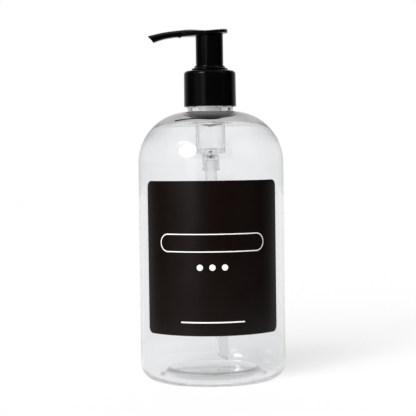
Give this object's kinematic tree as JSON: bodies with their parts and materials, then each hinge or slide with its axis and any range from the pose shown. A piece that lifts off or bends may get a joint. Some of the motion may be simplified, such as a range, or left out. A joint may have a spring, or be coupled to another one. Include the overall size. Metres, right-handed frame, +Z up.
{
  "type": "soap dispenser bottle",
  "caption": "Clear round bottle with a curved shoulder and a dark wrap-round label, closed by a black screw-on lotion pump with a saddle head and a long drooping nozzle.",
  "frame": {"origin": "centre of the bottle's standing ring, on the floor", "axes": "+Z up along the bottle's axis, -Y towards the label, -X along the nozzle"},
  "size_m": [0.0748, 0.0751, 0.1798],
  "materials": {
    "clear_bottle": "clear, glossy",
    "label_film": "satin printed film",
    "black_plastic": "glossy moulded",
    "gasket_foam": "closed foam",
    "natural_plastic": "translucent, undyed",
    "tube_plastic": "translucent, drawn",
    "piston_plastic": "waxy moulded",
    "stem_plastic": "undyed moulded",
    "steel": "bright drawn wire"
  },
  "bodies": {
    "bottle": {"bottle": "clear_bottle", "label": "label_film"},
    "gasket": {"gasket": "gasket_foam"},
    "pump": {"housing": "natural_plastic", "collar": "black_plastic", "dip_tube": "tube_plastic", "inlet_ball": "steel"},
    "closure": {"closure": "black_plastic"},
    "spring": {"spring": "steel"},
    "head": {"actuator": "black_plastic", "stem": "stem_plastic", "stem_plug": "stem_plastic"},
    "piston": {"piston": "piston_plastic"}
  },
  "joints": [
    {"name": "pump_lift_out", "type": "slide", "parent": "bottle", "child": "gasket", "axis": [0, 0, 1], "range_m": [0, 0.15]},
    {"name": "pump_rise", "type": "slide", "parent": "gasket", "child": "pump", "axis": [0, 0, 1], "range_m": [0, 0.0048]},
    {"name": "closure_turn", "type": "hinge", "parent": "pump", "child": "closure", "pos_m": [0, 0, 0.1484], "axis": [0, 0, 1], "range_deg": [0, 540]},
    {"name": "head_turn", "type": "hinge", "parent": "pump", "child": "spring", "pos_m": [0, 0, 0.1608], "axis": [0, 0, 1], "continuous": true},
    {"name": "press", "type": "slide", "parent": "spring", "child": "head", "axis": [0, 0, -1], "range_m": [0, 0.0125], "stiffness_N_per_m": 900, "springref_m": -0.006, "deforming": ["spring"]},
    {"name": "piston_slip", "type": "slide", "parent": "head", "child": "piston", "axis": [0, 0, 1], "range_m": [0, 0.001]}
  ],
  "couplings": [
    {"joint": "pump_rise", "follows": "closure_turn", "m_per_rad": 0.00050532}
  ]
}
